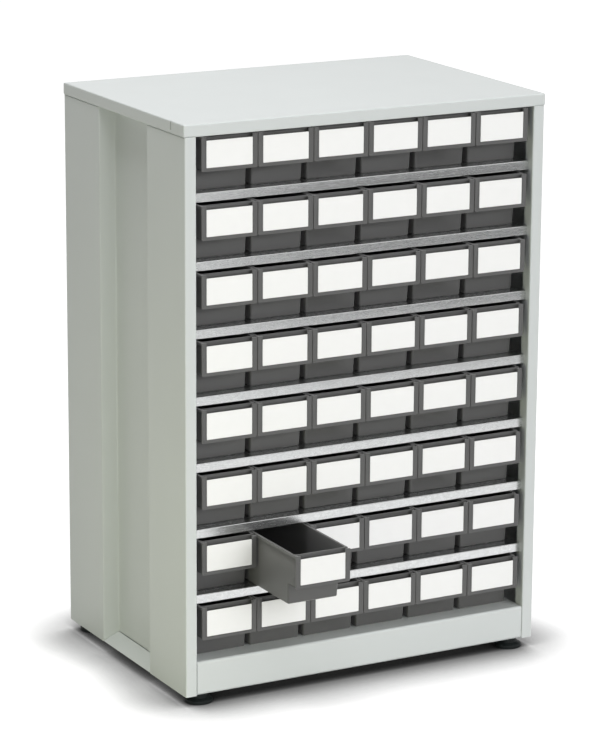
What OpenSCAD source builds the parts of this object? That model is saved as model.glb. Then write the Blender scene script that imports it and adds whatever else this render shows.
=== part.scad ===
// Free-standing sheet-steel cabinet with open plastic bins on galvanised shelves.
// Millimetres, +Z up, the front of the cabinet faces -Y.
// The origin is under the centre of the whole object, the drawn bin included, on the floor.

/* [Cabinet] */
// Rows of bins, one above the other
rows = 8; // [2:1:8]
// Bins side by side in one row
columns = 6; // [2:1:6]
// Thickness of the painted steel sheet
sheet = 1.2; // [0.8:0.1:1.5]
// Gap left between two sheets where one slips inside the other
sheet_gap = 0.2; // [0.1:0.05:0.3]
// Visible width of each front post
post_w = 18.6; // [16:0.2:26]
// Depth of the fold behind each front post
post_return = 20; // [16:1:30]
// Width of the flange along the rear edge of each side
rear_flange = 20; // [12:1:30]
// Free space between the outer bins and the post
side_gap = 8.75; // [4:0.25:14]
// Free space behind the bins
rear_gap = 5.6; // [3:0.2:12]

/* [Top panel] */
// Height of the lip round the top panel
top_lip = 18; // [14:1:26]
// Depth of the fold under the front lip
top_return = 12; // [6:1:18]
// Free height between the top row of bins and the lip
head_gap = 2.2; // [1:0.2:6]
// Distance of the slit in each side lip from the front
slit_back = 41; // [20:1:80]
// Width of the slit
slit_w = 1; // [0.6:0.1:2]
// Height of the slit
slit_h = 13; // [4:1:16]

/* [Side recess] */
// Width of the recess at the outer face of the side
recess_mouth = 163; // [100:1:200]
// How much narrower the recess is at its floor, on each side
recess_splay = 6.5; // [0:0.5:20]
// Depth of the recess
recess_depth = 24; // [12:1:25]
// Height of the inner edge of the sloping sill at the bottom
sill_rise = 14; // [6:1:24]

/* [Base and shelves] */
// Height of the plinth and of the floor of the lowest row
plinth_h = 52; // [40:1:90]
// Distance of the plinth behind the front of the posts
plinth_set = 1; // [0.5:0.1:4]
// Seam between the plinth and each post
plinth_seam = 0.5; // [0.3:0.1:1]
// Depth of the folds under the plinth that hold the feet
foot_flange = 45; // [42:1:70]
// Distance of a shelf lip behind the front of the posts
shelf_set = 12; // [6:1:14]
// Height of a shelf lip
shelf_lip = 14.5; // [10:0.5:24]
// Thickness of the galvanised sheet
shelf_t = 1; // [0.8:0.1:1.5]
// Depth of the fold at the bottom of a shelf lip
shelf_return = 10; // [6:1:16]
// Gap between a shelf and the inside of the recess
shelf_gap = 0.9; // [0.4:0.1:1.5]
// Thickness of a shelf clip
clip_t = 1; // [0.8:0.1:1.5]
// Reach of a shelf clip under the shelf
clip_reach = 18; // [10:1:24]
// Length of a shelf clip along the depth of the cabinet
clip_l = 24; // [14:1:40]

/* [Bins] */
// Width of a bin at its rim
bin_w = 90; // [60:0.5:120]
// Height of a bin
bin_h = 82; // [64:1:120]
// Length of a bin
bin_l = 400; // [300:5:500]
// Free space between two bins side by side
bin_gap = 1.25; // [0.6:0.05:4]
// Free height between the rim of a bin and the shelf lip above
bin_head = 3.9; // [2:0.1:10]
// Thickness of the bin's walls
bin_wall = 2; // [1.5:0.1:2.5]
// How far the rim stands out over the side walls
rim_out = 1.6; // [0.8:0.1:3]
// Height of the rim
rim_h = 4; // [2:0.5:6]
// How much each side wall leans in over its height
side_lean = 2.1; // [0.5:0.1:4]
// Distance of the label frame behind the front of the posts
label_set = 2; // [0:0.5:6]
// Height of the lower edge of the label frame
grip_h = 32; // [20:1:36]
// How far the lower front wall lies behind the label frame
grip_depth = 28.5; // [20:0.5:40]
// How much the lower front wall leans back towards the base
grip_lean = 2; // [0:0.5:4]
// Radius of the upright corners of the lower front wall
grip_corner = 8; // [3:0.5:12]
// Depth of the rim over the finger space behind the label frame
front_rim = 10; // [7:0.5:14]
// Height over which the web behind the label frame slopes
web_rise = 18; // [10:1:22]

/* [Labels] */
// Width of a label card
card_w = 74; // [40:0.5:80]
// Height of a label card
card_h = 39.5; // [14:0.5:41]
// Thickness of a label card
card_t = 0.8; // [0.4:0.1:1]
// Distance of a label card below the rim
card_drop = 5.2; // [3:0.2:8]
// Thickness of the label frame
frame_t = 2.4; // [2.2:0.1:3]
// Depth of the pocket that holds a card
pocket_depth = 1; // [0.6:0.1:1.2]
// Gap between a card and its pocket
card_gap = 0.1; // [0.05:0.05:0.15]

/* [Drawn bin] */
// Row of the drawn bin, counted from the bottom
drawn_up = 2; // [1:1:2]
// Column of the drawn bin, counted from the left
drawn_column = 2; // [1:1:2]
// How far that bin is drawn out
draw = 120; // [0:1:180]

/* [Feet] */
// Height of a foot below the cabinet
foot_h = 16; // [12:1:40]
// Diameter of a foot's pad
pad_d = 42; // [34:1:48]
// Height of the straight edge of a foot's pad
pad_edge = 5; // [3:0.5:6]
// Height of the sloping shoulder on a foot's pad
pad_slope = 3; // [1:0.5:4]
// Bevel round the edges of a foot's pad
pad_bevel = 1; // [0.5:0.1:1.5]
// Diameter of a foot's neck
neck_d = 27; // [20:1:30]
// Diameter of a foot's stud
stud_d = 10; // [8:1:12]
// Length of a foot's stud above its neck
stud_l = 30; // [14:1:36]
// Radial running gap between a stud and its nut
stud_gap = 0.05; // [0.02:0.01:0.1]
// Distance of a foot's axis from the inside of the post
foot_in = 12.5; // [10:0.5:40]
// Distance of a foot's axis from the front or the back
foot_back = 21; // [18:0.5:23]
// Width of a foot's nut across its flats
nut_flats = 17; // [15:1:24]
// Height of a foot's nut
nut_h = 8; // [4:0.5:12]

/* [Hidden] */
// Smoothness of round surfaces
$fn = 64;
// How far a cut runs past the face it opens
over = 1;

column_pitch = bin_w + bin_gap;
row_pitch = bin_h + bin_head + shelf_lip;
opening_w = columns * column_pitch + 2 * side_gap;
top_w = opening_w + 2 * (post_w + sheet + sheet_gap);
depth = label_set + bin_l + rear_gap + 2 * sheet;
body_h = plinth_h + (rows - 1) * row_pitch + bin_h + head_gap + top_lip;
reach_out = max(draw - label_set, 0);

body_z = foot_h;
top_z = body_z + body_h;
floor_z = body_z + plinth_h;
lip_z = top_z - top_lip;

front_y = (reach_out - depth) / 2;
back_y = front_y + depth;
middle_y = front_y + depth / 2;
liner_y = back_y - 2 * sheet;

inner_x = opening_w / 2;
outer_x = inner_x + post_w;
recess_x = outer_x - recess_depth - sheet;

recess_floor = recess_mouth - 2 * recess_splay;
recess_slope = recess_splay / recess_depth;
recess_step = sheet * (sqrt(1 + recess_slope * recess_slope) - recess_slope);
recess_clear = recess_mouth / 2 + 2 * sheet;

shelf_y = front_y + shelf_set;
shelf_end_y = liner_y - clip_t;
shelf_half = inner_x - clip_t;
shelf_tops = [for (i = [1 : rows - 1]) floor_z + i * row_pitch];

foot_x = inner_x - foot_in;
foot_front_y = front_y + foot_back;
foot_rear_y = back_y - foot_back;
stud_hole_d = stud_d + 2 * stud_gap;
foot_places = [for (x = [-foot_x, foot_x]) for (y = [foot_front_y, foot_rear_y]) [x, y]];

wall_top = bin_w / 2 - rim_out;
wall_base = wall_top - side_lean;
card_z = bin_h - card_drop - card_h;
card_back = pocket_depth - card_gap;
grip_foot = grip_depth + grip_lean;

drawn_row = rows + 1 - drawn_up;
bin_names = [for (r = [1 : rows]) for (c = [1 : columns]) str("bin_r", r, "_c", c)];
cabinet_names = ["top_panel", "left_side_panel", "right_side_panel", "back_panel", "base_tray", "shelves",
    "shelf_clips", "foot_front_left", "foot_front_right", "foot_rear_left", "foot_rear_right", "foot_nuts"];

// A box between two corners
module block(low, high) {
    translate(low) cube(high - low);
}

// An outline drawn in X and Z, extruded from y0 to y1
module along_y(y0, y1) {
    translate([0, y1, 0]) rotate([90, 0, 0]) linear_extrude(y1 - y0) children();
}

// An outline drawn in Y and Z, extruded across the width 2 * half
module along_x(half) {
    translate([-half, 0, 0]) rotate([90, 0, 90]) linear_extrude(2 * half) children();
}

// Plan of a sheet that fills the cabinet, narrower where the side recesses are
module bay_plan(wide, narrow, y0, y1) {
    y_in = middle_y - recess_clear;
    y_out = middle_y + recess_clear;
    polygon([
        [-wide, y0], [wide, y0], [wide, y_in], [narrow, y_in], [narrow, y_out], [wide, y_out],
        [wide, y1], [-wide, y1], [-wide, y_out], [-narrow, y_out], [-narrow, y_in], [-wide, y_in]
    ]);
}

// Plan of the right side: post fold, post, side, recess, side, rear flange
module side_section() {
    mouth = recess_mouth / 2;
    deep = recess_floor / 2;
    floor_x = outer_x - recess_depth;
    polygon([
        [inner_x, front_y + post_return], [inner_x, front_y], [outer_x, front_y],
        [outer_x, middle_y - mouth], [floor_x, middle_y - deep],
        [floor_x, middle_y + deep], [outer_x, middle_y + mouth],
        [outer_x, back_y], [outer_x - rear_flange, back_y], [outer_x - rear_flange, back_y - sheet],
        [outer_x - sheet, back_y - sheet], [outer_x - sheet, middle_y + mouth + recess_step],
        [recess_x, middle_y + deep + recess_step], [recess_x, middle_y - deep - recess_step],
        [outer_x - sheet, middle_y - mouth - recess_step], [outer_x - sheet, front_y + sheet],
        [inner_x + sheet, front_y + sheet], [inner_x + sheet, front_y + post_return]
    ]);
}

// Plan of the opening of the right recess, with a gap to its walls
module recess_plan(gap) {
    mouth = recess_mouth / 2 - gap;
    deep = recess_floor / 2 - gap;
    floor_x = outer_x - recess_depth;
    polygon([
        [outer_x, middle_y - mouth], [outer_x, middle_y + mouth], [floor_x, middle_y + deep],
        [recess_x - sheet, middle_y + deep], [recess_x - sheet, middle_y - deep], [floor_x, middle_y - deep]
    ]);
}

// Right side panel: full section up to the lip, and a tongue that slips up inside the lip
module side_panel() {
    tongue_edge = sheet + sheet_gap;
    notch_h = sill_rise + sheet + sheet_gap;
    deep = recess_floor / 2;
    difference() {
        union() {
            translate([0, 0, body_z]) linear_extrude(body_h - top_lip) side_section();
            translate([0, 0, body_z]) linear_extrude(body_h - sheet) intersection() {
                side_section();
                translate([0, front_y + tongue_edge]) square([outer_x, depth - 2 * tongue_edge]);
            }
        }
        block([recess_x - over, middle_y - deep, body_z - over],
              [outer_x - recess_depth + over, middle_y + deep, body_z + notch_h]);
    }
}

// Sloping sill that closes the bottom of the right recess
module recess_sill() {
    intersection() {
        along_y(middle_y - recess_mouth / 2, middle_y + recess_mouth / 2)
            polygon([
                [outer_x, body_z], [outer_x, body_z + sheet],
                [recess_x, body_z + sill_rise + sheet], [recess_x - sheet, body_z + sill_rise + sheet],
                [recess_x - sheet, body_z + sill_rise], [recess_x, body_z + sill_rise]
            ]);
        translate([0, 0, body_z]) linear_extrude(plinth_h) recess_plan(sheet_gap);
    }
}

module top_panel() {
    half = top_w / 2;
    color("whitesmoke") {
        difference() {
            block([-half, front_y, lip_z], [half, back_y, top_z]);
            block([sheet - half, front_y + sheet, lip_z - over], [half - sheet, back_y - sheet, top_z - sheet]);
            for (x = [-half, half])
                block([x - sheet, front_y + slit_back, top_z - slit_h],
                      [x + sheet, front_y + slit_back + slit_w, top_z + over]);
        }
        block([-inner_x, front_y, lip_z], [inner_x, front_y + top_return, lip_z + sheet]);
    }
}

module right_side_panel() {
    color("gainsboro") side_panel();
}

module left_side_panel() {
    color("gainsboro") mirror([1, 0, 0]) side_panel();
}

module back_panel() {
    half = outer_x - sheet - sheet_gap;
    color("gainsboro") block([-half, liner_y, body_z], [half, back_y - sheet, top_z - sheet]);
}

module base_tray() {
    wide = inner_x - plinth_seam;
    plinth_y = front_y + plinth_set;
    side_y = recess_floor / 2;
    color("gainsboro") difference() {
        union() {
            translate([0, 0, floor_z - sheet]) linear_extrude(sheet) bay_plan(wide, recess_x, plinth_y, liner_y);
            block([-wide, plinth_y, body_z], [wide, plinth_y + sheet, floor_z]);
            block([-wide, liner_y - sheet, body_z], [wide, liner_y, floor_z]);
            block([-wide, plinth_y, body_z], [wide, plinth_y + foot_flange, body_z + sheet]);
            block([-wide, liner_y - foot_flange, body_z], [wide, liner_y, body_z + sheet]);
            for (side = [0, 1]) mirror([side, 0, 0]) {
                block([recess_x - sheet, middle_y - side_y, body_z], [recess_x, middle_y + side_y, floor_z]);
                recess_sill();
            }
        }
        for (place = foot_places)
            translate([place.x, place.y, body_z - over]) cylinder(d = stud_hole_d, h = sheet + 2 * over);
    }
}

module shelves() {
    narrow = recess_x - shelf_gap;
    side_y = recess_floor / 2;
    color("silver") for (top = shelf_tops) {
        translate([0, 0, top - shelf_t]) linear_extrude(shelf_t)
            bay_plan(shelf_half, narrow, shelf_y, shelf_end_y);
        block([-shelf_half, shelf_y, top - shelf_lip], [shelf_half, shelf_y + shelf_t, top]);
        block([-shelf_half, shelf_y, top - shelf_lip],
              [shelf_half, shelf_y + shelf_return, top - shelf_lip + shelf_t]);
        for (side = [0, 1]) mirror([side, 0, 0])
            block([narrow - shelf_t, middle_y - side_y, top - shelf_lip], [narrow, middle_y + side_y, top]);
    }
}

module shelf_clips() {
    clip_x = inner_x - clip_reach;
    color("silver") for (top = shelf_tops) for (side = [0, 1]) mirror([side, 0, 0]) {
        under = top - shelf_t - clip_t;
        foot = top - shelf_lip;
        // beside the front lip, against the fold of the post
        block([shelf_half, shelf_y, foot], [inner_x, shelf_y + clip_l, top]);
        block([clip_x, shelf_y + shelf_t, under], [inner_x, shelf_y + clip_l, under + clip_t]);
        // behind the rear edge, against the back panel
        block([clip_x, shelf_end_y, foot], [inner_x, liner_y, top]);
        block([clip_x, liner_y - clip_l, under], [inner_x, liner_y, under + clip_t]);
    }
}

// Levelling foot: round pad, neck and stud, turned about its own axis
module levelling_foot(place) {
    pad_r = pad_d / 2;
    neck_r = neck_d / 2;
    stud_r = stud_d / 2;
    color("dimgray") translate([place.x, place.y, 0]) rotate_extrude()
        polygon([
            [0, 0], [pad_r - pad_bevel, 0], [pad_r, pad_bevel], [pad_r, pad_edge - pad_bevel],
            [pad_r - pad_bevel, pad_edge], [neck_r, pad_edge + pad_slope], [neck_r, foot_h],
            [stud_r, foot_h], [stud_r, foot_h + stud_l], [0, foot_h + stud_l]
        ]);
}

module foot_nuts() {
    color("silver") for (place = foot_places)
        translate([place.x, place.y, body_z + sheet]) difference() {
            cylinder(d = nut_flats / cos(30), h = nut_h, $fn = 6);
            translate([0, 0, -over]) cylinder(d = stud_hole_d, h = nut_h + 2 * over);
        }
}

// Outline of a bin across its width; inset is the distance of the outline inside the outer walls
module bin_across(inset, z0, z1) {
    slope = side_lean / bin_h;
    polygon([
        [-wall_base - slope * z0 + inset, z0], [wall_base + slope * z0 - inset, z0],
        [wall_base + slope * z1 - inset, z1], [-wall_base - slope * z1 + inset, z1]
    ]);
}

// Plan of the lower part of a bin, with its two front corners rounded
module bin_foot_plan() {
    half = wall_base + side_lean * grip_h / bin_h;
    corner = half - grip_corner;
    union() {
        translate([-corner, grip_depth]) square([2 * corner, bin_l - grip_depth]);
        translate([-half, grip_depth + grip_corner]) square([2 * half, bin_l - grip_depth - grip_corner]);
        for (x = [-corner, corner]) translate([x, grip_depth + grip_corner]) circle(r = grip_corner);
    }
}

// Solid outer form of a bin, its label frame on y = 0 and its base on z = 0
module bin_outside() {
    half = bin_w / 2;
    intersection() {
        along_y(0, bin_l) bin_across(0, 0, grip_h);
        along_x(half) polygon([[grip_foot, 0], [grip_depth, grip_h], [bin_l, grip_h], [bin_l, 0]]);
        linear_extrude(grip_h) bin_foot_plan();
    }
    along_y(0, bin_l) bin_across(0, grip_h, bin_h);
    block([-half, 0, bin_h - rim_h], [half, bin_l, bin_h]);
    block([-half, 0, grip_h], [half, frame_t, bin_h]);
}

// Space for the parts, which runs forward over the finger space
module bin_cavity() {
    web_z = grip_h + web_rise;
    lift = bin_wall / 2;
    intersection() {
        along_y(0, bin_l) bin_across(bin_wall, bin_wall, bin_h + over);
        along_x(bin_w) polygon([
            [grip_foot + bin_wall, bin_wall], [grip_depth + bin_wall, grip_h + lift],
            [front_rim, web_z + lift], [front_rim, bin_h + over],
            [bin_l - bin_wall, bin_h + over], [bin_l - bin_wall, bin_wall]
        ]);
    }
}

// Finger space behind the label frame, open at the bottom
module finger_space() {
    web_z = grip_h + web_rise;
    web_y = front_rim - bin_wall;
    intersection() {
        along_y(0, bin_l) bin_across(bin_wall, grip_h - over, bin_h);
        along_x(bin_w) polygon([
            [frame_t, grip_h - over], [grip_depth, grip_h - over], [grip_depth, grip_h], [web_y, web_z],
            [web_y, bin_h - bin_wall], [frame_t, bin_h - bin_wall]
        ]);
    }
}

// One bin with its label card, in its bay or drawn out
module bin(row, column) {
    drawn = row == drawn_row && column == drawn_column;
    place_x = (column - (columns + 1) / 2) * column_pitch;
    place_y = front_y + label_set - (drawn ? draw : 0);
    place_z = floor_z + (rows - row) * row_pitch;
    half = card_w / 2;
    translate([place_x, place_y, place_z]) {
        color("dimgray") difference() {
            bin_outside();
            bin_cavity();
            finger_space();
            block([-half - card_gap, -over, card_z - card_gap],
                  [half + card_gap, pocket_depth, card_z + card_h + card_gap]);
        }
        color("white") block([-half, card_back - card_t, card_z], [half, card_back, card_z + card_h]);
    }
}

top_panel();
left_side_panel();
right_side_panel();
back_panel();
base_tray();
shelves();
shelf_clips();
levelling_foot([-foot_x, foot_front_y]);  // foot_front_left
levelling_foot([foot_x, foot_front_y]);  // foot_front_right
levelling_foot([-foot_x, foot_rear_y]);  // foot_rear_left
levelling_foot([foot_x, foot_rear_y]);  // foot_rear_right
foot_nuts();
for (r = [1 : rows], c = [1 : columns])
    bin(r, c);
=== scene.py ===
"""Parts organizer: a sheet-steel cabinet with plastic bins, its finishes and its studio.

Everything is in metres, +Z up, and the front of the cabinet faces -Y. The file is laid out as an add-on
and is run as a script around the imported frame.
"""

import math

import bmesh
import bpy
from bpy.props import FloatProperty, FloatVectorProperty, PointerProperty
from mathutils import Matrix, Vector


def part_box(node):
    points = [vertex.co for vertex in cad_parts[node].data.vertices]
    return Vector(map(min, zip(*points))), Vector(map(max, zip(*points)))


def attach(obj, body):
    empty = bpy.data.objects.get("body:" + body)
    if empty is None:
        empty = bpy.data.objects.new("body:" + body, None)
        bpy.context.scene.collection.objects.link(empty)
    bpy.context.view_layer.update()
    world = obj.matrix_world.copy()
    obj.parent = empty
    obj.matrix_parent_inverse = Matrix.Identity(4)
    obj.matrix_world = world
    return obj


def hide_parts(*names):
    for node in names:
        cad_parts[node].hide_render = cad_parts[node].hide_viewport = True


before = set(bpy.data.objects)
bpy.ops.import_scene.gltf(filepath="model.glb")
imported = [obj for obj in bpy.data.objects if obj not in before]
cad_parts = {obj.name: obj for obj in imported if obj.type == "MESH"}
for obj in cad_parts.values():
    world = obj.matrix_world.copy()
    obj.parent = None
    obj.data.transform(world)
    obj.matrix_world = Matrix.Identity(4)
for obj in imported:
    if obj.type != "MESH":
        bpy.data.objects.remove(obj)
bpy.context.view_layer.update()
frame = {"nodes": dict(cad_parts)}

bl_info = {
    "name": "Parts organizer",
    "version": (1, 0, 0),
    "blender": (4, 5, 0),
    "location": "3D View > Sidebar > Organizer",
    "description": "Models a sheet-steel cabinet with sliding bins around its packed frame",
    "category": "Add Mesh",
}

# Places that the frame gives
TOP_LOW, TOP_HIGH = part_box("top_panel")
SIDE_LOW, SIDE_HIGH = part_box("right_side_panel")
BACK_LOW, BACK_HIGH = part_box("back_panel")
BASE_LOW, BASE_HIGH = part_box("base_tray")
SHELF_LOW, SHELF_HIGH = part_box("shelves")
OPENING_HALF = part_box("shelf_clips")[1].x
FEET = ("foot_front_left", "foot_front_right", "foot_rear_left", "foot_rear_right")
BINS = sorted(node for node in frame["nodes"] if node.startswith("bin_"))
BIN_BOX = {node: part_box(node) for node in BINS}
BIN_WIDTH, BIN_LENGTH, BIN_HEIGHT = BIN_BOX[BINS[0]][1] - BIN_BOX[BINS[0]][0]
ROW_FLOORS = sorted({round(low.z, 5) for low, high in BIN_BOX.values()})
MIDDLE_Y = (SIDE_LOW.y + SIDE_HIGH.y) / 2

X, Y, Z = 0, 1, 2
FACING_UP = (0, 0, 0)
FACING_FRONT = (math.pi / 2, 0, 0)
WHITE = (1.0, 1.0, 1.0)
SAME_PLACE = 2e-5
FOLD_ANGLE = math.radians(8)
SMOOTH_ANGLE = math.radians(40)

# Share of a face's normal along an axis from which the face counts as turned that way
FULLY_TURNED = 0.9
HALF_TURNED = 0.5
PARTLY_TURNED = 0.3

# Tone of the darkest zinc crystals against the lightest
DARK_CRYSTAL = 0.80

# The studio's fixed places and sizes
FLOOR_SIZE = 80
# Samples of the ambient-occlusion mask that paints shade into the floor near the cabinet
SHADE_MASK_SAMPLES = 16
FRONT_LAMP_DISTANCE = 3.8
FRONT_LAMP_SIZE = 1.6
UPPER_LAMP_DISTANCE = 3.0
UPPER_LAMP_SIZE = 0.9
SIDE_LAMP_PLACE = Vector((-1.15, -0.5, 0.08))
SIDE_LAMP_AIM = Vector((-0.3, 0, 0.15))
SIDE_LAMP_SIZE = 0.6
FLAG_PLACE = (1.8, -1.8, 0.3)
FLAG_WIDTH = 2.4
FLAG_HEIGHT = 0.6
FLAG_COLOUR = (0.05, 0.05, 0.05)
FLAG_ALPHA = 0.95
SENSOR_WIDTH = 36.0


def length(label, description, default):
    """A size in metres for a property group."""
    return FloatProperty(name=label, description=description, default=default, min=0.0, precision=5,
                         unit="LENGTH", subtype="DISTANCE")


def colour(label, description, default):
    """A linear colour for a property group."""
    return FloatVectorProperty(name=label, description=description, default=default, min=0.0, max=1.0,
                               size=3, subtype="COLOR")


def level(label, description, default):
    """A plain number for a property group."""
    return FloatProperty(name=label, description=description, default=default, min=0.0, soft_max=10.0)


def turn(label, description, default):
    """An angle for a property group, given in degrees."""
    return FloatProperty(name=label, description=description, default=math.radians(default),
                         subtype="ANGLE")


class SteelSizes(bpy.types.PropertyGroup):
    """Sizes of the painted steel body."""
    sheet: length("Sheet", "Thickness of the painted sheet", 0.0012)
    fold_radius: length("Fold radius", "Outer radius of the folds", 0.0021)
    edge_round: length("Edge round", "Rounding of the cut edges", 0.0003)
    post_return: length("Post fold", "Depth of the fold behind each front post", 0.020)
    rear_flange: length("Rear flange", "Width of the flange along the rear edge of a side", 0.020)
    top_return: length("Lip fold", "Depth of the fold under the front lip", 0.012)
    tongue_inset: length("Tongue inset", "Distance of the side's tongue from the slit and the back", 0.004)
    lip_seam: length("Lip seam", "Height of the open seam under each side lip", 0.0012)
    seam_depth: length("Seam depth", "Depth of that seam", 0.0009)
    slit_back: length("Slit distance", "Distance of the slit in each side lip from the front", 0.041)
    slit_width: length("Slit width", "Width of the slit", 0.0018)
    slit_height: length("Slit height", "Height of the slit", 0.013)
    recess_mouth: length("Recess mouth", "Width of the side recess at the outer face", 0.163)
    recess_splay: length("Recess splay", "How much narrower the recess floor is, on each side", 0.0065)
    recess_depth: length("Recess depth", "Depth of the side recess", 0.024)
    sill_rise: length("Sill rise", "Height of the inner edge of the sloping sill", 0.014)
    sill_seam: length("Sill seam", "Open seam round the sill", 0.0008)
    plinth_seam: length("Plinth seam", "Open seam between the plinth and a post", 0.0006)
    plinth_radius: length("Plinth radius", "Outer radius of the folds of the base", 0.0042)
    foot_flange: length("Foot flange", "Depth of the folds that hold the feet", 0.045)


class ShelfSizes(bpy.types.PropertyGroup):
    """Sizes of the galvanised shelves."""
    sheet: length("Sheet", "Thickness of the galvanised sheet", 0.001)
    fold_radius: length("Fold radius", "Outer radius of the folds", 0.0015)
    edge_round: length("Edge round", "Rounding of the cut edges", 0.0002)
    lip: length("Lip", "Height of the front lip", 0.0145)
    lip_return: length("Lip fold", "Depth of the fold under the front lip", 0.010)
    recess_gap: length("Recess gap", "Gap between a shelf and the inside of the recess", 0.0009)


class BinSizes(bpy.types.PropertyGroup):
    """Sizes of a plastic bin."""
    wall: length("Wall", "Thickness of the walls", 0.002)
    rim_out: length("Rim reach", "How far the rim stands out over the walls", 0.0016)
    rim_height: length("Rim height", "Height of the rim", 0.004)
    side_lean: length("Side lean", "How much a side wall leans in over its height", 0.0021)
    grip_height: length("Grip height", "Height of the lower edge of the label frame", 0.032)
    grip_depth: length("Grip depth", "Distance of the lower front wall behind the label frame", 0.0285)
    grip_lean: length("Grip lean", "How much the lower front wall leans back towards the base", 0.002)
    web_rise: length("Web rise", "Height over which the web behind the label frame slopes", 0.018)
    front_rim: length("Front rim", "Distance of the inside of the front wall from the label side", 0.010)
    frame: length("Frame", "Thickness of the label frame", 0.0024)
    frame_corner: length("Frame corner", "Radius of the lower corners of the label frame", 0.0025)
    grip_corner: length("Grip corner", "Radius of the upright corners of the lower front wall", 0.003)
    rear_corner: length("Rear corner", "Radius of the rear corners", 0.006)
    inner_corner: length("Inner corner", "Radius of the corners inside", 0.004)
    base_round: length("Base round", "Radius round the base", 0.0025)
    edge_round: length("Edge round", "Rounding of the remaining edges", 0.0005)


class LabelSizes(bpy.types.PropertyGroup):
    """Sizes of a label card and its pocket."""
    width: length("Width", "Width of a card", 0.074)
    height: length("Height", "Height of a card", 0.0395)
    thickness: length("Thickness", "Thickness of a card", 0.0008)
    drop: length("Drop", "Distance of a card below the rim", 0.0052)
    corner: length("Corner", "Radius of a card's corners", 0.0008)
    edge_round: length("Edge round", "Rounding of a card's edges", 0.00012)
    pocket_depth: length("Pocket depth", "Depth of the pocket that holds a card", 0.001)
    gap: length("Gap", "Gap between a card and the floor of its pocket", 0.0001)
    edge_gap: length("Edge gap", "Gap between the edges of a card and its pocket", 0.0004)


class FootSizes(bpy.types.PropertyGroup):
    """Sizes of a levelling foot."""
    pad_edge: length("Pad edge", "Height of the straight edge of the pad", 0.005)
    pad_slope: length("Pad slope", "Height of the sloping shoulder of the pad", 0.003)
    neck_radius: length("Neck radius", "Radius of the neck", 0.0135)
    stud_radius: length("Stud radius", "Radius of the stud", 0.005)
    stud_hole: length("Stud hole", "Radius of the hole in the base for the stud", 0.0053)
    edge_round: length("Edge round", "Rounding of the turned edges", 0.0009)


class FinishColours(bpy.types.PropertyGroup):
    """Linear colours of the finishes."""
    paint: colour("Paint", "Light grey powder coat", (0.625, 0.655, 0.648))
    zinc: colour("Zinc", "Galvanised sheet", (0.69, 0.70, 0.70))
    plastic: colour("Bin plastic", "Dark grey moulded plastic", (0.086, 0.086, 0.085))
    card: colour("Card", "White label card", (0.92, 0.92, 0.91))
    foot: colour("Foot plastic", "Black moulded plastic", (0.008, 0.011, 0.011))


class StudioSettings(bpy.types.PropertyGroup):
    """Camera and light."""
    azimuth: turn("Azimuth", "Direction of the camera round the cabinet", -28.52)
    elevation: turn("Elevation", "Height of the camera above the horizon", 14.53)
    roll: turn("Roll", "Tilt of the picture", 0.35)
    distance: length("Distance", "Distance of the camera from its target", 5.0675)
    target_x: FloatProperty(name="Target X", description="Sideways place of the target", default=-0.0017,
                            unit="LENGTH")
    target_z: length("Target height", "Height of the target", 0.4323)
    lens: level("Lens", "Focal length in millimetres", 159.64)
    top: level("Top light", "Strength of the soft light from above", 0.20)
    rear: level("Rear light", "Strength of the soft light from behind", 1.4)
    rear_azimuth: turn("Rear azimuth", "Direction of the rear light round the cabinet", 140.0)
    rear_elevation: turn("Rear elevation", "Height of the rear light above the horizon", 14.0)
    focus: level("Focus", "How fast the light from above and behind fades away from its direction", 3.0)
    low: level("Low light", "Strength of the low light from the front", 4.8)
    low_azimuth: turn("Low azimuth", "Direction of the low light round the cabinet", 15.0)
    low_elevation: turn("Low elevation", "Height of the low light above the horizon", 11.0)
    low_focus: level("Low focus", "How fast the low light fades away from its direction", 8.0)
    front: level("Front lamp", "Power of the lamp at the front, in watts", 10.0)
    front_azimuth: turn("Front azimuth", "Direction of the front lamp round the cabinet", 20.0)
    front_elevation: turn("Front elevation", "Height of the front lamp above the horizon", 52.0)
    over: level("Upper lamp", "Power of the lamp above the left side, in watts", 35.5)
    over_azimuth: turn("Upper azimuth", "Direction of the upper lamp round the cabinet", -75.0)
    over_elevation: turn("Upper elevation", "Height of the upper lamp above the horizon", 74.0)
    side: level("Side lamp", "Power of the low lamp at the left, in watts", 3.5)
    side_tint: colour("Side tint", "Colour of the low lamp at the left", (0.96, 1.0, 0.60))
    floor_bounce: level("Floor bounce", "Share of light that the floor throws back", 0.60)
    floor_white: level("Floor white", "Share of light that the floor shows", 0.50)
    floor_lift: level("Floor lift", "Share of white that the floor shows of itself", 0.80)
    # The floor's dark edge under the cabinet is partly the lamps' real shadow and partly painted shade from
    # an ambient-occlusion mask
    painted_shade_reach: length("Contact reach", "How far the dark edge under the cabinet reaches", 0.11)
    painted_shade_depth: level("Contact depth", "How fast that edge grows dark", 2.7)


def deselect_all():
    bpy.ops.object.select_all(action="DESELECT")


def make_active(piece):
    """Selects one object alone and makes it the active one."""
    deselect_all()
    piece.select_set(True)
    bpy.context.view_layer.objects.active = piece


def settle(name, scale):
    """Names the primitive just added, sizes it and moves its place into its mesh."""
    piece = bpy.context.object
    piece.name = piece.data.name = name
    piece.scale = scale
    bpy.ops.object.transform_apply(location=True, rotation=True, scale=True)
    return piece


def add_plate(name, centre, width, height, facing):
    """Adds one flat face that looks up or to the front."""
    deselect_all()
    bpy.ops.mesh.primitive_plane_add(size=1, location=centre, rotation=facing)
    return settle(name, (width, height, 1))


def add_block(name, low, high):
    """Adds a block between two corners."""
    low, high = Vector(low), Vector(high)
    deselect_all()
    bpy.ops.mesh.primitive_cube_add(size=1, location=(low + high) / 2)
    return settle(name, high - low)


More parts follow.
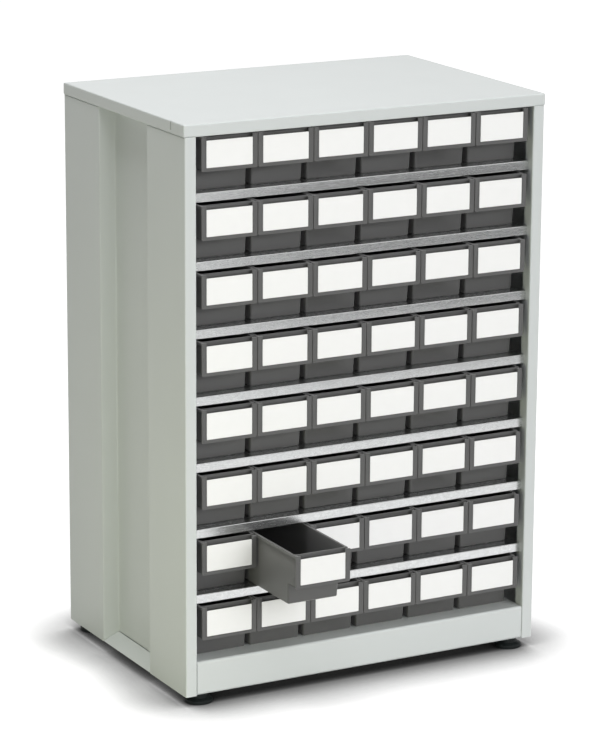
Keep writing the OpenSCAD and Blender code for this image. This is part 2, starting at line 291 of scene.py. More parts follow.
def add_rod(name, centre, radius, height, sides):
    """Adds an upright cylinder."""
    deselect_all()
    bpy.ops.mesh.primitive_cylinder_add(vertices=sides, radius=radius, depth=height, location=centre)
    return settle(name, (1, 1, 1))


def start_edit(piece):
    make_active(piece)
    bpy.ops.object.mode_set(mode="EDIT")


def end_edit():
    bpy.ops.object.mode_set(mode="OBJECT")


def near(value, target):
    return abs(value - target) < SAME_PLACE


def reach(part, axis):
    """Lowest and highest coordinate of an edge or a face along one axis."""
    places = [vertex.co[axis] for vertex in part.verts]
    return min(places), max(places)


def extent(part, axis):
    """Length of an edge or a face along one axis."""
    low, high = reach(part, axis)
    return high - low


def lies_at(part, axis, target):
    """True where every vertex of an edge or a face lies at one coordinate."""
    return all(near(place, target) for place in reach(part, axis))


def lies_within(part, axis, low, high):
    """True where every vertex of an edge or a face lies between two coordinates, or at one of them."""
    start, end = reach(part, axis)
    return low - SAME_PLACE < start and end < high + SAME_PLACE


def pick(piece, kind, test):
    """Selects, in edit mode, only the verts, edges or faces that pass the test."""
    bpy.ops.mesh.select_mode(type={"verts": "VERT", "edges": "EDGE", "faces": "FACE"}[kind])
    bpy.ops.mesh.select_all(action="DESELECT")
    shape = bmesh.from_edit_mesh(piece.data)
    chosen = [part for part in getattr(shape, kind) if test(part)]
    if not chosen:
        raise RuntimeError(f"{piece.name}: none of its {kind} passed a test")
    for part in chosen:
        part.select_set(True)
    shape.select_flush_mode()
    bmesh.update_edit_mesh(piece.data)


def pull(*moves):
    """Extrudes what is selected by one move after another."""
    for move in moves:
        bpy.ops.mesh.extrude_region_move(TRANSFORM_OT_translate={"value": tuple(move)})


def shift(*move):
    bpy.ops.transform.translate(value=move)


def stretch(factors, centre=(0, 0, 0)):
    bpy.ops.transform.resize(value=factors, center_override=centre)


def split(axis, *places):
    """Cuts what is selected with planes across one axis."""
    normal = [float(index == axis) for index in range(3)]
    for place in places:
        bpy.ops.mesh.bisect(plane_co=[place * part for part in normal], plane_no=normal)


def split_all(axis, *places):
    for place in places:
        bpy.ops.mesh.select_all(action="SELECT")
        split(axis, place)


def round_edges(piece, test, radius, segments):
    pick(piece, "edges", test)
    bpy.ops.mesh.bevel(offset=radius, segments=segments, affect="EDGES")


def is_fold(edge):
    return len(edge.link_faces) == 2 and edge.calc_face_angle(0) > FOLD_ANGLE


def face_outwards():
    bpy.ops.mesh.select_all(action="SELECT")
    bpy.ops.mesh.normals_make_consistent(inside=False)


def apply_modifier(piece, kind, **settings):
    """Adds one modifier and applies it."""
    make_active(piece)
    modifier = piece.modifiers.new(kind.lower(), kind)
    for name, value in settings.items():
        setattr(modifier, name, value)
    bpy.ops.object.modifier_apply(modifier=modifier.name)


def remove(piece):
    bpy.data.meshes.remove(piece.data)


def combine(piece, tool, operation):
    """Cuts a piece with a tool, or joins the two, and removes the tool."""
    apply_modifier(piece, "BOOLEAN", object=tool, operation=operation, solver="EXACT")
    remove(tool)


def thicken(piece, sheet, radius):
    """Rounds the folds of a sheet and gives it its thickness, inwards."""
    round_edges(piece, is_fold, radius, segments=4)
    face_outwards()
    end_edit()
    apply_modifier(piece, "SOLIDIFY", thickness=sheet, offset=-1, use_even_offset=True)


def polish(piece, edge_round, segments=2):
    """Rounds the sharp edges that are left and smooths the shading."""
    apply_modifier(piece, "BEVEL", width=edge_round, segments=segments, limit_method="ANGLE",
                   angle_limit=SMOOTH_ANGLE, harden_normals=False)
    make_active(piece)
    bpy.ops.object.shade_smooth_by_angle(angle=SMOOTH_ANGLE)
    apply_modifier(piece, "WEIGHTED_NORMAL", keep_sharp=True, weight=60)


def hand_over(piece, material, body, node):
    """Gives a piece its finish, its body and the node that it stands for."""
    piece.data.materials.clear()
    piece.data.materials.append(material)
    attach(piece, body)
    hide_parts(node)


def copy_piece(source, name, move):
    """A copy with its own mesh, moved inside that mesh."""
    piece = source.copy()
    piece.data = source.data.copy()
    piece.name = piece.data.name = name
    bpy.context.scene.collection.objects.link(piece)
    piece.data.transform(Matrix.Translation(move))
    return piece


def new_group(name, inputs, outputs):
    """An empty shader node group with its sockets, and its two end nodes."""
    group = bpy.data.node_groups.new(name, "ShaderNodeTree")
    for label, kind, default in inputs:
        socket = group.interface.new_socket(label, in_out="INPUT", socket_type=f"NodeSocket{kind}")
        if default is not None:
            socket.default_value = default
    for label, kind in outputs:
        group.interface.new_socket(label, in_out="OUTPUT", socket_type=f"NodeSocket{kind}")
    return group, group.nodes.new("NodeGroupInput"), group.nodes.new("NodeGroupOutput")


def fill_inputs(tree, node, inputs):
    """Links the inputs that are given a socket, and sets the others."""
    for name, value in inputs.items():
        if isinstance(value, bpy.types.NodeSocket):
            tree.links.new(value, node.inputs[name])
        else:
            node.inputs[name].default_value = value
    return node


def add_node(tree, kind, inputs, **settings):
    """Adds a shader node, sets its options and fills its inputs."""
    node = tree.nodes.new(f"ShaderNode{kind}")
    for name, value in settings.items():
        setattr(node, name, value)
    return fill_inputs(tree, node, inputs)


def add_group(tree, group, inputs):
    """Places a node group in a tree and fills its inputs."""
    node = tree.nodes.new("ShaderNodeGroup")
    node.node_tree = group
    return fill_inputs(tree, node, inputs)


def calculate(tree, operation, first, second):
    """The result of one sum on two values or sockets."""
    return add_node(tree, "Math", {0: first, 1: second}, operation=operation).outputs[0]


def noise(tree, vector, scale, detail=2.0, roughness=0.5):
    inputs = {"Vector": vector, "Scale": scale, "Detail": detail, "Roughness": roughness}
    return add_node(tree, "TexNoise", inputs).outputs["Fac"]


def tone_group():
    """Uneven tone: a colour that grows a little lighter and darker in soft clouds."""
    found = bpy.data.node_groups.get("uneven_tone")
    if found:
        return found
    inputs = [("Vector", "Vector", None), ("Colour", "Color", None),
              ("Scale", "Float", 5.0), ("Amount", "Float", 0.03)]
    group, start, end = new_group("uneven_tone", inputs, [("Colour", "Color")])
    clouds = noise(group, start.outputs["Vector"], start.outputs["Scale"], detail=3.0)
    centred = calculate(group, "SUBTRACT", clouds, 0.5)
    swing = calculate(group, "MULTIPLY", centred, start.outputs["Amount"])
    gain = calculate(group, "ADD", swing, 1.0)
    tinted = add_node(group, "VectorMath", {0: start.outputs["Colour"], "Scale": gain}, operation="SCALE")
    group.links.new(tinted.outputs[0], end.inputs["Colour"])
    return group


def relief_group():
    """Fine relief: a height that follows a fine grain, and a roughness that follows grain and patches."""
    found = bpy.data.node_groups.get("fine_relief")
    if found:
        return found
    inputs = [("Vector", "Vector", None), ("Scale", "Float", 900.0),
              ("Roughness", "Float", 0.45), ("Spread", "Float", 0.08)]
    group, start, end = new_group("fine_relief", inputs, [("Height", "Float"), ("Roughness", "Float")])
    grain = noise(group, start.outputs["Vector"], start.outputs["Scale"], detail=3.0, roughness=0.6)
    patches = noise(group, start.outputs["Vector"], scale=14.0, detail=2.0)
    both = calculate(group, "ADD", grain, patches)
    centred = calculate(group, "SUBTRACT", both, 1.0)
    swing = calculate(group, "MULTIPLY", centred, start.outputs["Spread"])
    rough = calculate(group, "ADD", swing, start.outputs["Roughness"])
    group.links.new(grain, end.inputs["Height"])
    group.links.new(rough, end.inputs["Roughness"])
    return group


def start_material(name):
    """A new material: its node tree, its Principled shader and its Object coordinates."""
    material = bpy.data.materials.new(name)
    material.use_nodes = True
    tree = material.node_tree
    place = tree.nodes.new("ShaderNodeTexCoord").outputs["Object"]
    return material, tree, tree.nodes["Principled BSDF"], place


def moulded(name, tint, *, clouds, unevenness, grain, roughness, spread, bump, shine=0.5, sheen=0.0):
    """A finish with uneven tone and fine relief: powder coat, plastic or card."""
    found = bpy.data.materials.get(name)
    if found:
        return found
    material, tree, shader, place = start_material(name)
    tones = add_group(tree, tone_group(),
                      {"Vector": place, "Colour": (*tint, 1), "Scale": clouds, "Amount": unevenness})
    relief = add_group(tree, relief_group(),
                       {"Vector": place, "Scale": grain, "Roughness": roughness, "Spread": spread})
    raised = add_node(tree, "Bump", {"Height": relief.outputs["Height"], "Strength": 1.0, "Distance": bump})
    fill_inputs(tree, shader, {
        "Base Color": tones.outputs["Colour"],
        "Roughness": relief.outputs["Roughness"],
        "Normal": raised.outputs["Normal"],
        "Specular IOR Level": shine,
        "Sheen Weight": sheen,
    })
    return material


def painted_steel():
    return moulded("powder_coat", bpy.context.scene.finish_colours.paint, clouds=4.0, unevenness=0.05,
                   grain=700.0, roughness=0.42, spread=0.10, bump=0.000012)


def bin_plastic():
    return moulded("bin_moulding", bpy.context.scene.finish_colours.plastic, clouds=30.0, unevenness=0.12,
                   grain=2200.0, roughness=0.46, spread=0.12, bump=0.00001, sheen=0.40)


def label_card():
    return moulded("card_stock", bpy.context.scene.finish_colours.card, clouds=60.0, unevenness=0.03,
                   grain=3500.0, roughness=0.62, spread=0.10, bump=0.000006)


def foot_plastic():
    return moulded("foot_moulding", bpy.context.scene.finish_colours.foot, clouds=60.0, unevenness=0.30,
                   grain=1800.0, roughness=0.55, spread=0.15, bump=0.00002, shine=0.25)


def galvanised_steel():
    """Zinc-coated sheet: crystals of slightly different tone and gloss, and fine rolling marks along X."""
    found = bpy.data.materials.get("zinc_sheet")
    if found:
        return found
    material, tree, shader, place = start_material("zinc_sheet")
    crystals = add_node(tree, "TexVoronoi", {"Vector": place, "Scale": 260.0, "Randomness": 1.0})
    crystal = add_node(tree, "SeparateColor", {"Color": crystals.outputs["Color"]}).outputs["Red"]
    along = add_node(tree, "Mapping", {"Vector": place, "Scale": (0.04, 1.0, 1.0)}).outputs["Vector"]
    marks = noise(tree, along, scale=900.0, detail=3.0, roughness=0.65)
    mixed = add_node(tree, "Mix", {"Factor": 0.5, "A": crystal, "B": marks}, data_type="FLOAT")
    light = bpy.context.scene.finish_colours.zinc
    dark = [part * DARK_CRYSTAL for part in light]
    ramp = add_node(tree, "Mix", {"Factor": mixed.outputs["Result"], "A": (*dark, 1), "B": (*light, 1)},
                    data_type="RGBA")
    relief = add_group(tree, relief_group(),
                       {"Vector": along, "Scale": 1200.0, "Roughness": 0.27, "Spread": 0.10})
    height = calculate(tree, "ADD", relief.outputs["Height"], crystal)
    raised = add_node(tree, "Bump", {"Height": height, "Strength": 1.0, "Distance": 0.000008})
    fill_inputs(tree, shader, {
        "Base Color": ramp.outputs["Result"],
        "Roughness": relief.outputs["Roughness"],
        "Normal": raised.outputs["Normal"],
        "Metallic": 1.0,
    })
    return material


def middle_of(node):
    """The x and y of the middle of a node."""
    low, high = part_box(node)
    return (low.x + high.x) / 2, (low.y + high.y) / 2


def bay_of(node):
    """Where a bin stands: the middle of its label side, at its base."""
    low, high = BIN_BOX[node]
    return (low.x + high.x) / 2, low.y, low.z


def recess_edges():
    """The x of a recess floor, and half its width at the outer face and at that floor."""
    steel = bpy.context.scene.steel_sizes
    mouth = steel.recess_mouth / 2
    return SIDE_HIGH.x - steel.recess_depth, mouth, mouth - steel.recess_splay


def model_tray(name, half, narrow, front, back, top, front_folds, back_folds, drop):
    """A flat tray with a notch for each side recess, folded down at the front, the back and the notches."""
    steel = bpy.context.scene.steel_sizes
    clear = steel.recess_mouth / 2 + 2 * steel.sheet
    near_y, far_y = MIDDLE_Y - clear, MIDDLE_Y + clear
    tray = add_plate(name, (0, (front + back) / 2, top), 2 * half, back - front, FACING_UP)
    start_edit(tray)
    split_all(Y, near_y, far_y)
    split_all(X, -narrow, narrow)

    def in_notch(face):
        centre = face.calc_center_median()
        return abs(centre.x) > narrow and near_y < centre.y < far_y

    pick(tray, "faces", in_notch)
    bpy.ops.mesh.delete(type="FACE")
    pick(tray, "edges", lambda edge: lies_at(edge, Y, front))
    pull(*front_folds)
    if back_folds:
        pick(tray, "edges", lambda edge: lies_at(edge, Y, back) and lies_at(edge, Z, top))
        pull(*back_folds)
    for side in (-narrow, narrow):
        pick(tray, "edges", lambda edge: lies_at(edge, X, side) and lies_within(edge, Y, near_y, far_y))
        pull((0, 0, -drop))
    return tray


class ORGANIZER_OT_top_panel(bpy.types.Operator):
    """Top panel: a pan with a lip all round, a slit in each side lip and a fold under the front lip"""
    bl_idname = "organizer.top_panel"
    bl_label = "Top panel"

    def execute(self, context):
        steel = context.scene.steel_sizes
        size = TOP_HIGH - TOP_LOW
        centre = ((TOP_LOW.x + TOP_HIGH.x) / 2, MIDDLE_Y, TOP_HIGH.z)
        panel = add_plate("top_panel_sheet", centre, size.x, size.y, FACING_UP)
        start_edit(panel)
        pick(panel, "edges", lambda edge: edge.is_boundary)
        pull((0, 0, -size.z))
        thicken(panel, steel.sheet, steel.fold_radius)
        fold = add_block("fold", (-OPENING_HALF, TOP_LOW.y + steel.sheet / 2, TOP_LOW.z),
                         (OPENING_HALF, TOP_LOW.y + steel.top_return, TOP_LOW.z + steel.sheet))
        combine(panel, fold, "UNION")
        slit_y = TOP_LOW.y + steel.slit_back
        for side in (TOP_LOW.x, TOP_HIGH.x):
            slit = add_block("slit", (side - 2 * steel.sheet, slit_y, TOP_HIGH.z - steel.slit_height),
                             (side + 2 * steel.sheet, slit_y + steel.slit_width, TOP_HIGH.z + steel.sheet))
            combine(panel, slit, "DIFFERENCE")
        polish(panel, steel.edge_round)
        hand_over(panel, painted_steel(), "cabinet", "top_panel")
        return {"FINISHED"}


class ORGANIZER_OT_side_panels(bpy.types.Operator):
    """Side panels: one folded sheet each, with a front post, a full-height recess and a rear flange"""
    bl_idname = "organizer.side_panels"
    bl_label = "Side panels"

    def execute(self, context):
        for name, side in (("right_side_panel", 1), ("left_side_panel", -1)):
            panel = self.fold(context.scene.steel_sizes, f"{name}_sheet", side)
            hand_over(panel, painted_steel(), "cabinet", name)
        return {"FINISHED"}

    def fold(self, steel, name, side):
        """One side panel, folded along its plan from the post to the rear flange."""
        front, back, outer = SIDE_LOW.y, SIDE_HIGH.y, SIDE_HIGH.x
        bottom, top = SIDE_LOW.z, TOP_LOW.z
        floor_x, mouth, deep = recess_edges()
        post = outer - OPENING_HALF
        plan = [(outer, front), (outer, MIDDLE_Y - mouth), (floor_x, MIDDLE_Y - deep),
                (floor_x, MIDDLE_Y + deep), (outer, MIDDLE_Y + mouth), (outer, back),
                (outer - steel.rear_flange, back)]
        centre = (side * (outer - post / 2), front, (bottom + top) / 2)
        panel = add_plate(name, centre, post, top - bottom, FACING_FRONT)
        start_edit(panel)
        pick(panel, "edges", lambda edge: lies_at(edge, X, side * OPENING_HALF))
        pull((0, steel.post_return, 0))
        pick(panel, "edges", lambda edge: lies_at(edge, X, side * outer))
        pull(*[(side * (x1 - x0), y1 - y0, 0) for (x0, y0), (x1, y1) in zip(plan, plan[1:])])
        tongue = front + steel.slit_back + steel.tongue_inset, back - steel.tongue_inset
        split_all(Y, *tongue)

        def on_tongue(edge):
            inner = lies_at(edge, X, side * OPENING_HALF)
            return lies_at(edge, Z, top) and not inner and lies_within(edge, Y, *tongue)

        pick(panel, "edges", on_tongue)
        pull((0, 0, SIDE_HIGH.z - top))
        thicken(panel, steel.sheet, steel.fold_radius)
        recess_floor, past = side * floor_x, 2 * steel.sheet
        notch = add_block("notch", (recess_floor - past, MIDDLE_Y - deep, bottom - steel.sheet),
                          (recess_floor + past, MIDDLE_Y + deep, bottom + steel.sill_rise + steel.sheet))
        combine(panel, notch, "DIFFERENCE")
        outer_face, corner = side * outer, steel.fold_radius
        seam = add_block("seam", (outer_face - steel.seam_depth, front + corner, top - steel.lip_seam),
                         (outer_face + steel.seam_depth, back - corner, top + steel.edge_round))
        combine(panel, seam, "DIFFERENCE")
        polish(panel, steel.edge_round)
        return panel


class ORGANIZER_OT_back_panel(bpy.types.Operator):
    """Back panel: a flat sheet behind the shelves, held by the rear flanges"""
    bl_idname = "organizer.back_panel"
    bl_label = "Back panel"

    def execute(self, context):
        steel = context.scene.steel_sizes
        size = BACK_HIGH - BACK_LOW
        centre = (0, BACK_LOW.y, (BACK_LOW.z + BACK_HIGH.z) / 2)
        panel = add_plate("back_panel_sheet", centre, size.x, size.z, FACING_FRONT)
        apply_modifier(panel, "SOLIDIFY", thickness=size.y, offset=-1)
        polish(panel, steel.edge_round)
        hand_over(panel, painted_steel(), "cabinet", "back_panel")
        return {"FINISHED"}


class ORGANIZER_OT_base_tray(bpy.types.Operator):
    """Base tray: floor of the lowest row, plinth, foot flanges and the sloping sills of the recesses"""
    bl_idname = "organizer.base_tray"
    bl_label = "Base tray"

    def execute(self, context):
        steel = context.scene.steel_sizes
        foot = context.scene.foot_sizes
        half = OPENING_HALF - steel.plinth_seam
        drop = BASE_HIGH.z - BASE_LOW.z
        down, inwards = (0, 0, -drop), Vector((0, steel.foot_flange, 0))
        tray = model_tray("base_tray_sheet", half, SIDE_LOW.x, BASE_LOW.y, BASE_HIGH.y, BASE_HIGH.z,
                          (down, inwards), (down, -inwards), drop)
        thicken(tray, steel.sheet, steel.plinth_radius)
        for name in FEET:
            hole = add_rod("hole", (*middle_of(name), BASE_LOW.z), foot.stud_hole, 4 * steel.sheet,
                           sides=32)
            combine(tray, hole, "DIFFERENCE")
        sills = [self.sill(steel, side) for side in (1, -1)]
        make_active(tray)
        for sill in sills:
            sill.select_set(True)
        bpy.ops.object.join()
        polish(tray, steel.edge_round)
        hand_over(tray, painted_steel(), "cabinet", "base_tray")
        return {"FINISHED"}

    def sill(self, steel, side):
        """The plate that closes the bottom of one recess, high at the inside and flush at the outside."""
        floor_x, mouth, deep = recess_edges()
        outer, bottom = SIDE_HIGH.x, BASE_LOW.z
        inner = floor_x + steel.sill_seam
        mouth, deep = mouth - steel.sill_seam, deep - steel.sill_seam
        centre = (side * (inner + outer) / 2, MIDDLE_Y, bottom + steel.sheet)
        sill = add_plate("sill", centre, outer - inner, 2 * mouth, FACING_UP)
        start_edit(sill)
        pick(sill, "verts", lambda vertex: near(vertex.co.x, side * inner))
        shift(0, 0, steel.sill_rise)
        stretch((1, deep / mouth, 1), (0, MIDDLE_Y, 0))
        pick(sill, "edges", lambda edge: lies_at(edge, X, side * inner))
        pull((0, 0, -steel.sill_rise))
        thicken(sill, steel.sheet, steel.sheet)
        return sill


class ORGANIZER_OT_shelves(bpy.types.Operator):
    """Shelves: one galvanised tray with a folded lip under each row of bins but the lowest"""
    bl_idname = "organizer.shelves"
    bl_label = "Shelves"

    def execute(self, context):
        shelf = context.scene.shelf_sizes
        narrow = SIDE_LOW.x - shelf.recess_gap
        first = ROW_FLOORS[1]
        tray = model_tray("shelf", SHELF_HIGH.x, narrow, SHELF_LOW.y, SHELF_HIGH.y, first,
                          ((0, 0, -shelf.lip), (0, shelf.lip_return, 0)), (), shelf.lip)
        thicken(tray, shelf.sheet, shelf.fold_radius)
        polish(tray, shelf.edge_round)
        for number, floor in enumerate(ROW_FLOORS[1:], 1):
            piece = copy_piece(tray, f"shelf_{number}", (0, 0, floor - first))
            hand_over(piece, galvanised_steel(), "cabinet", "shelves")
        remove(tray)
        for node in ("shelf_clips", "foot_nuts"):
            frame["nodes"][node].data.materials.clear()
            frame["nodes"][node].data.materials.append(galvanised_steel())
        return {"FINISHED"}


class ORGANIZER_OT_bins(bpy.types.Operator):
    """Bins: one moulded bin with a set-back grip and a label frame, copied into every bay"""
    bl_idname = "organizer.bins"
    bl_label = "Bins"

    def execute(self, context):
        sizes, label = context.scene.bin_sizes, context.scene.label_sizes
        tub = self.tub(sizes)
        combine(tub, self.label_frame(sizes, label), "UNION")
        card_top = BIN_HEIGHT - label.drop
        mouth = add_block("card_mouth", (-label.width / 2, -sizes.frame, card_top - label.edge_gap),
                          (label.width / 2, 2 * sizes.frame, BIN_HEIGHT + sizes.frame))
        combine(tub, mouth, "DIFFERENCE")
        polish(tub, sizes.edge_round)
        for node in BINS:
            piece = copy_piece(tub, f"{node}_tub", bay_of(node))
            hand_over(piece, bin_plastic(), node, node)
        remove(tub)
        return {"FINISHED"}

    def tub(self, sizes):
        """The hollow body, its label side at y 0 and its base at z 0."""
        top_half = BIN_WIDTH / 2 - sizes.rim_out
        base_half = top_half - sizes.side_lean
        front, back = sizes.front_rim - sizes.wall, BIN_LENGTH - sizes.rim_out
        grip_z = sizes.grip_height
        web_z = grip_z + sizes.web_rise
        rim_z = BIN_HEIGHT - sizes.rim_height

        def half_at(height):
            return base_half + sizes.side_lean * height / BIN_HEIGHT

        # Outside: a block that narrows towards its base, its lower front set back for the grip
        tub = add_block("tub", (-top_half, front, 0), (top_half, back, BIN_HEIGHT))
        start_edit(tub)
        pick(tub, "verts", lambda vertex: near(vertex.co.z, 0))
        stretch((base_half / top_half, 1, 1))
        split_all(Z, grip_z, web_z, rim_z)
        front_line = {0: sizes.grip_depth + sizes.grip_lean, grip_z: sizes.grip_depth}
        for height, place in front_line.items():
            pick(tub, "verts", lambda vertex: near(vertex.co.y, front) and near(vertex.co.z, height))
            shift(0, place - front, 0)

        # Inside: the top face, inset by the wall and pulled down in steps that follow the front
        pick(tub, "faces", lambda face: lies_at(face, Z, BIN_HEIGHT))
        bpy.ops.mesh.inset(thickness=sizes.wall)
        above, inside_half = BIN_HEIGHT, top_half - sizes.wall
        lift = sizes.wall / 2
        inside_line = {web_z + lift: sizes.front_rim, grip_z + lift: sizes.grip_depth + sizes.wall,
                       sizes.wall: sizes.grip_depth + sizes.grip_lean + sizes.wall}
        line_y = sizes.front_rim
        for height, place in inside_line.items():
            pull((0, 0, height - above))
            stretch(((half_at(height) - sizes.wall) / inside_half, 1, 1))
            pick(tub, "verts", lambda vertex: near(vertex.co.z, height) and near(vertex.co.y, line_y))
            shift(0, place - line_y, 0)
            pick(tub, "faces", lambda face: lies_at(face, Z, height) and face.normal.z > FULLY_TURNED)
            above, inside_half, line_y = height, half_at(height) - sizes.wall, place

        # Rounded corners and base
        def runs_up_side(edge, depth):
            """True for an upright edge on the outside of a side wall, or at a depth behind it."""
            on_wall = all(near(abs(vertex.co.x), half_at(vertex.co.z) - depth) for vertex in edge.verts)
            return on_wall and extent(edge, Z) > sizes.wall

        def in_front_half(edge):
            return reach(edge, Y)[1] < back / 2

        def at_rear_corner(edge):
            return runs_up_side(edge, 0) and lies_at(edge, Y, back)

        def at_grip_corner(edge):
            below = reach(edge, Z)[1] < grip_z + SAME_PLACE
            return runs_up_side(edge, 0) and below and in_front_half(edge)

        def at_inner_corner(edge):
            at_end = lies_at(edge, Y, back - sizes.wall) or in_front_half(edge)
            return runs_up_side(edge, sizes.wall) and at_end

        round_edges(tub, at_rear_corner, sizes.rear_corner, segments=5)
        round_edges(tub, at_grip_corner, sizes.grip_corner, segments=6)
        round_edges(tub, at_inner_corner, sizes.inner_corner, segments=4)
        for height, radius, segments in ((0, sizes.base_round, 3), (sizes.wall, sizes.inner_corner, 4)):
            round_edges(tub, lambda edge: lies_at(edge, Z, height) and is_fold(edge), radius, segments)

        # Cheeks: the outer strips of the front, pulled forward into the label frame
        def at_front(face):
            centre = face.calc_center_median()
            return face.normal.y < -PARTLY_TURNED and grip_z < centre.z and centre.y < sizes.grip_depth

        cheek = half_at(grip_z) - sizes.wall
        pick(tub, "faces", at_front)
        split(X, -cheek, cheek)
        pick(tub, "faces", lambda face: at_front(face) and abs(face.calc_center_median().x) > cheek)
        pull((0, -sizes.frame, 0))
        stretch((1, 0, 1), (0, sizes.frame / 2, 0))

        # Rim: the upper strip of the sides and the back, which stands out over the walls
        def in_rim(face):
            centre = face.calc_center_median()
            upright = abs(face.normal.z) < HALF_TURNED and face.normal.y > -HALF_TURNED
            return upright and centre.z > rim_z and not near(abs(centre.x), cheek)

        pick(tub, "faces", in_rim)
        bpy.ops.mesh.extrude_region_shrink_fatten(
            TRANSFORM_OT_shrink_fatten={"value": sizes.rim_out, "use_even_offset": True})
        face_outwards()
        end_edit()
        return tub

    def label_frame(self, sizes, label):
        """The plate at the front, with rounded lower corners and a pocket for the card."""
        half = BIN_WIDTH / 2
        plate = add_block("label_frame", (-half, 0, sizes.grip_height), (half, sizes.frame, BIN_HEIGHT))
        start_edit(plate)

        def at_lower_corner(edge):
            return lies_at(edge, Z, sizes.grip_height) and extent(edge, Y) > sizes.frame / 2

        round_edges(plate, at_lower_corner, sizes.frame_corner, segments=4)
        end_edit()
        bottom = BIN_HEIGHT - label.drop - label.height
        half_pocket = label.width / 2 + label.edge_gap
        pocket = add_block("pocket", (-half_pocket, -sizes.frame, bottom - label.edge_gap),
                           (half_pocket, label.pocket_depth, BIN_HEIGHT - label.drop + label.edge_gap))
        start_edit(pocket)
        round_edges(pocket, lambda edge: extent(edge, Y) > sizes.frame, label.corner, segments=3)
        end_edit()
        combine(plate, pocket, "DIFFERENCE")
        return plate


class ORGANIZER_OT_label_cards(bpy.types.Operator):
    """Label cards: one blank card in the frame of every bin"""
    bl_idname = "organizer.label_cards"
    bl_label = "Label cards"

    def execute(self, context):
        label = context.scene.label_sizes
        top = BIN_HEIGHT - label.drop
        front = label.pocket_depth - label.gap - label.thickness
        card = add_block("card", (-label.width / 2, front, top - label.height),
                         (label.width / 2, front + label.thickness, top))
        start_edit(card)
        round_edges(card, lambda edge: extent(edge, Y) > label.thickness / 2, label.corner, segments=3)
        end_edit()
        polish(card, label.edge_round)
        for node in BINS:
            piece = copy_piece(card, node.replace("bin", "label"), bay_of(node))
            hand_over(piece, label_card(), node, node)
        remove(card)
        return {"FINISHED"}


class ORGANIZER_OT_feet(bpy.types.Operator):
    """Levelling feet: a round pad with a sloping shoulder, a neck and a stud"""
    bl_idname = "organizer.feet"
    bl_label = "Levelling feet"

    def execute(self, context):
        sizes = context.scene.foot_sizes
        low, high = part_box(FEET[0])
        pad_radius = (high.x - low.x) / 2
        neck_top = BASE_LOW.z
        foot = add_rod("foot", (0, 0, sizes.pad_edge / 2), pad_radius, sizes.pad_edge, sides=64)
        start_edit(foot)
        pick(foot, "faces", lambda face: lies_at(face, Z, sizes.pad_edge))
        pull((0, 0, sizes.pad_slope))
        narrowing = sizes.neck_radius / pad_radius
        stretch((narrowing, narrowing, 1))
        pull((0, 0, neck_top - sizes.pad_edge - sizes.pad_slope))
        bpy.ops.mesh.inset(thickness=sizes.neck_radius - sizes.stud_radius)
        pull((0, 0, high.z - neck_top))
        end_edit()
        polish(foot, sizes.edge_round, segments=3)
        for node in FEET:
            piece = copy_piece(foot, f"{node}_pad", (*middle_of(node), 0))
            hand_over(piece, foot_plastic(), node, node)
        remove(foot)
        return {"FINISHED"}


def bearing(azimuth, elevation):
    """The direction out from the cabinet at an angle round it and an angle above the horizon."""
    flat = math.cos(elevation)
    return Vector((math.sin(azimuth) * flat, -math.cos(azimuth) * flat, math.sin(elevation)))


